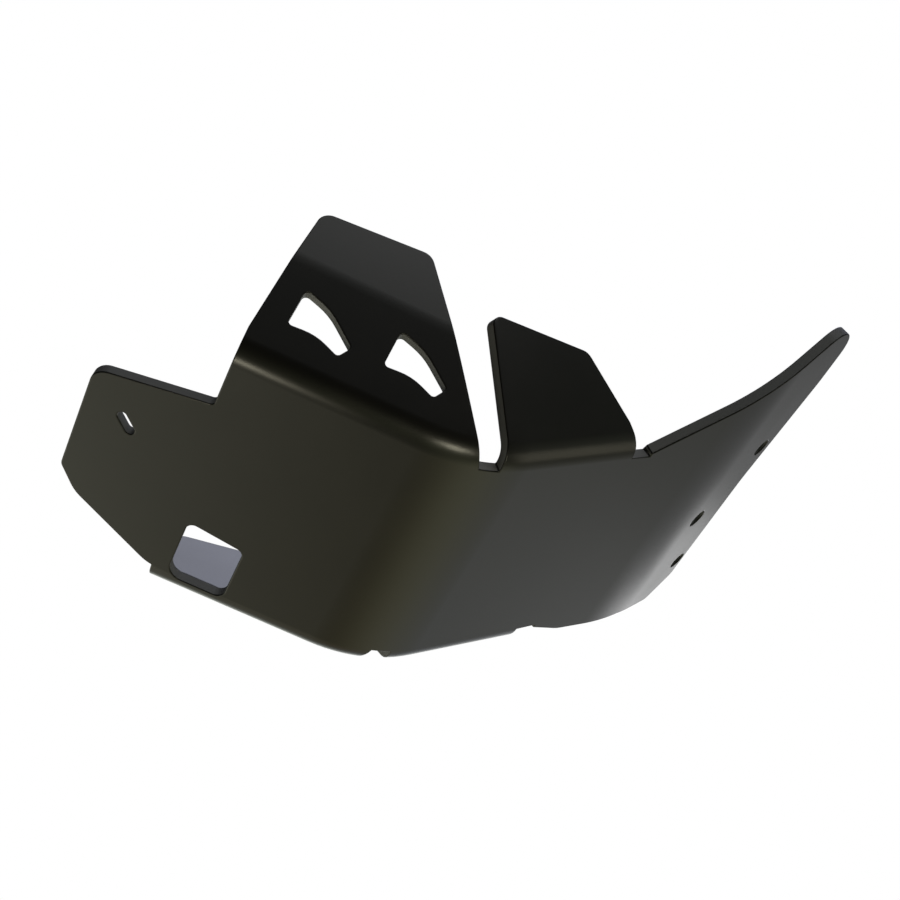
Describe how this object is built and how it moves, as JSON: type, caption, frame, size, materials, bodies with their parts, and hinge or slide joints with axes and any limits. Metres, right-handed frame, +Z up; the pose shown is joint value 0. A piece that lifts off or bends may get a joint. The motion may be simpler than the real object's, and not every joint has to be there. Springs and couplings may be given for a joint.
{
  "type": "motorcycle skid plate",
  "caption": "Black folded-sheet skid plate with a flat floor, bent-up front, flared nose, side flaps, a drain window and bolt holes.",
  "frame": {"origin": "middle of the floor's underside, at the line where the front bend starts", "axes": "+X forward, towards the nose; +Y to the rider's left; +Z up"},
  "size_m": [0.338, 0.2424, 0.1746],
  "materials": {
    "skid_plate": "satin black coating"
  },
  "bodies": {
    "root": {"skid_plate": "skid_plate"}
  },
  "joints": []
}
